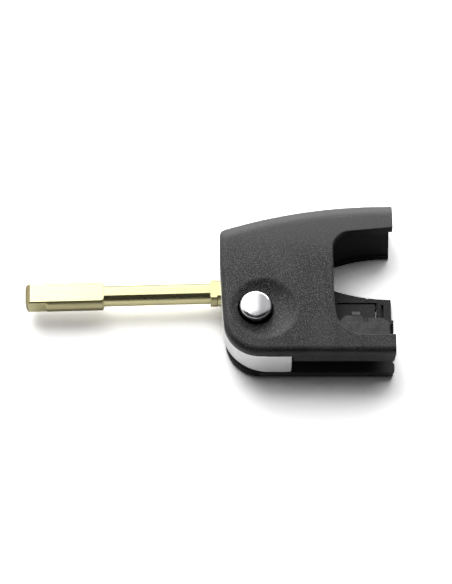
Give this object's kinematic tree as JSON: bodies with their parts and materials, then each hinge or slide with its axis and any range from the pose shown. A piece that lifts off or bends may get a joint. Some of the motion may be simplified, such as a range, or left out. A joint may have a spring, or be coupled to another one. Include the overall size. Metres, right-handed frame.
{
  "type": "flip key remote shell",
  "caption": "Head of a flip key: moulded black housing with a chrome release button, a round blade that swings out on a carrier, and a C-shaped socket for the remote unit.",
  "frame": {"origin": "on the back face, where the release button's axis meets it", "axes": "+Z out of the button's side, -X the way the blade points when it is out, +X out of the remote unit's socket"},
  "size_m": [0.08, 0.037, 0.0142],
  "materials": {
    "black_plastic": "fine spark-eroded grain",
    "satin_metal": "satin plated die casting",
    "blade_brass": "pale polished brass",
    "steel": "drawn wire",
    "chrome": "bright plated",
    "chip": "moulded"
  },
  "bodies": {
    "housing": {"lower_shell": "black_plastic", "upper_shell": "black_plastic", "spring_cap": "black_plastic", "transponder_chip": "chip", "flip_spring": "steel"},
    "blade_unit": {"blade_carrier": "satin_metal", "key_blade": "blade_brass", "blade_pin": "steel"},
    "button": {"release_button": "chrome"}
  },
  "joints": [
    {"name": "blade_swing", "type": "hinge", "parent": "housing", "child": "blade_unit", "pos_m": [0, 0, 0.0065], "axis": [0, 0, 1], "range_deg": [0, 180], "stiffness_Nm_per_rad": 0.01, "springref_deg": -89.95},
    {"name": "button_press", "type": "slide", "parent": "blade_unit", "child": "button", "axis": [0, 0, -1], "range_m": [0, 0.002], "stiffness_N_per_m": 600, "springref_m": -0.003, "deforming": ["flip_spring"]}
  ]
}
